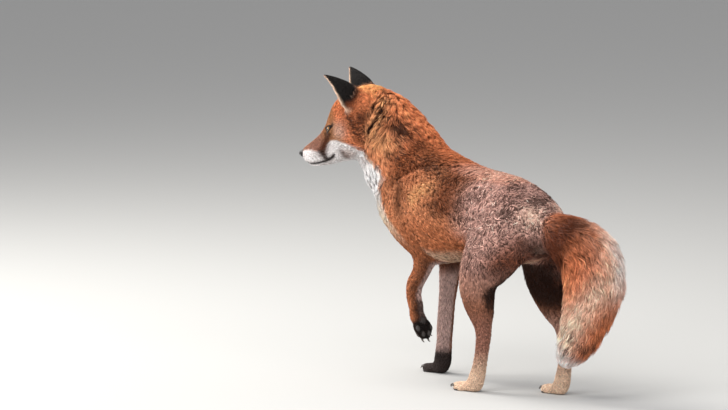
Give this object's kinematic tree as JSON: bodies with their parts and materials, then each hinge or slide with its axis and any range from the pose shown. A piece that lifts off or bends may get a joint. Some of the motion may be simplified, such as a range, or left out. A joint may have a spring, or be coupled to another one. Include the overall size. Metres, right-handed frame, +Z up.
{
  "type": "red fox figure",
  "caption": "Life-size still figure of a red fox, walking with one forefoot lifted, its head turned to one side and its full tail hanging.",
  "frame": {"origin": "centre of the bounding box's footprint, on the floor under the soles", "axes": "+X forward along the trunk, +Y to the fox's left, +Z up"},
  "size_m": [0.652, 0.2122, 0.4912],
  "materials": {
    "coat_red": "orange-red fur, matt, in soft overlapping locks",
    "coat_brown": "brown fur ticked with pale grey-pink tips, matt",
    "coat_dark": "black-brown short fur of ears and feet, matt",
    "coat_pale": "white to cream fur, matt",
    "eye_amber": "polished amber eye with a dark upright pupil",
    "nose_leather": "black, slightly moist, pebbled"
  },
  "bodies": {
    "root": {"trunk": "coat_brown", "neck": "coat_red", "head": "coat_red", "lower_jaw": "coat_pale", "nose": "nose_leather", "eye_left": "eye_amber", "eye_right": "eye_amber", "ear_left": "coat_dark", "ear_right": "coat_dark", "leg_fore_left": "coat_red", "leg_fore_right": "coat_red", "leg_hind_left": "coat_red", "leg_hind_right": "coat_red", "paw_fore_left": "coat_dark", "paw_fore_right": "coat_dark", "paw_hind_left": "coat_dark", "paw_hind_right": "coat_dark", "tail": "coat_red", "tail_tip": "coat_pale"}
  },
  "joints": []
}
